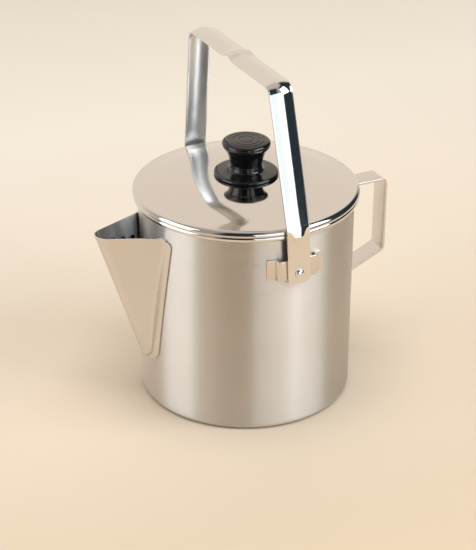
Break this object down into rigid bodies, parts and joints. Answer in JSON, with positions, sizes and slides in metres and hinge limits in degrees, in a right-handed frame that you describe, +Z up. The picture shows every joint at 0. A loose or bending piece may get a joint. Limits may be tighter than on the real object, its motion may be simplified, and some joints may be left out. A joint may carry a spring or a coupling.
{
  "type": "coffee percolator",
  "caption": "Straight-sided stainless stovetop percolator with a long V spout, strap side handle, swinging strap bail, domed lid and round black knob.",
  "frame": {"origin": "pot axis at the base's flat face, where the pot stands on a stove or table", "axes": "+Z up along the pot's axis, +X towards the side handle, -X towards the spout, the bail's pivot axis along Y"},
  "size_m": [0.2065, 0.156, 0.2352],
  "materials": {
    "steel_satin": "satin, fine vertical brushing",
    "steel_lid": "bright, near mirror",
    "steel_polished": "polished",
    "steel_inner": "plain",
    "steel_plain": "plain bright",
    "phenolic_black": "gloss",
    "brass": "plain"
  },
  "bodies": {
    "pot": {"pot_body": "steel_satin", "spout": "steel_satin", "side_handle": "steel_satin", "bail_bracket_front": "steel_satin", "bail_bracket_rear": "steel_satin", "bail_rivet_front": "steel_polished", "bail_rivet_rear": "steel_polished"},
    "bail": {"bail_handle": "steel_polished"},
    "lid": {"lid": "steel_lid", "lid_ring": "steel_inner", "lid_knob": "phenolic_black", "knob_insert": "brass", "knob_screw": "steel_plain", "knob_washer": "steel_plain"},
    "pump": {"stem_foot": "steel_inner", "stem_tube": "steel_inner", "stem_collar": "steel_inner"},
    "basket": {"filter_basket": "steel_inner", "basket_sleeve": "steel_inner"},
    "spreader": {"basket_spreader": "steel_inner"}
  },
  "joints": [
    {"name": "bail_swing", "type": "hinge", "parent": "pot", "child": "bail", "pos_m": [0, 0, 0.113], "axis": [0, 1, 0], "range_deg": [-133, 137]},
    {"name": "lid_lift", "type": "slide", "parent": "pot", "child": "lid", "axis": [0, 0, 1], "range_m": [0, 0.0078]},
    {"name": "pump_lift", "type": "slide", "parent": "pot", "child": "pump", "axis": [0, 0, 1], "range_m": [0, 0.004]},
    {"name": "basket_lift", "type": "slide", "parent": "pump", "child": "basket", "axis": [0, 0, 1], "range_m": [0, 0.01]},
    {"name": "spreader_lift", "type": "slide", "parent": "basket", "child": "spreader", "axis": [0, 0, 1], "range_m": [0, 0.004]}
  ]
}
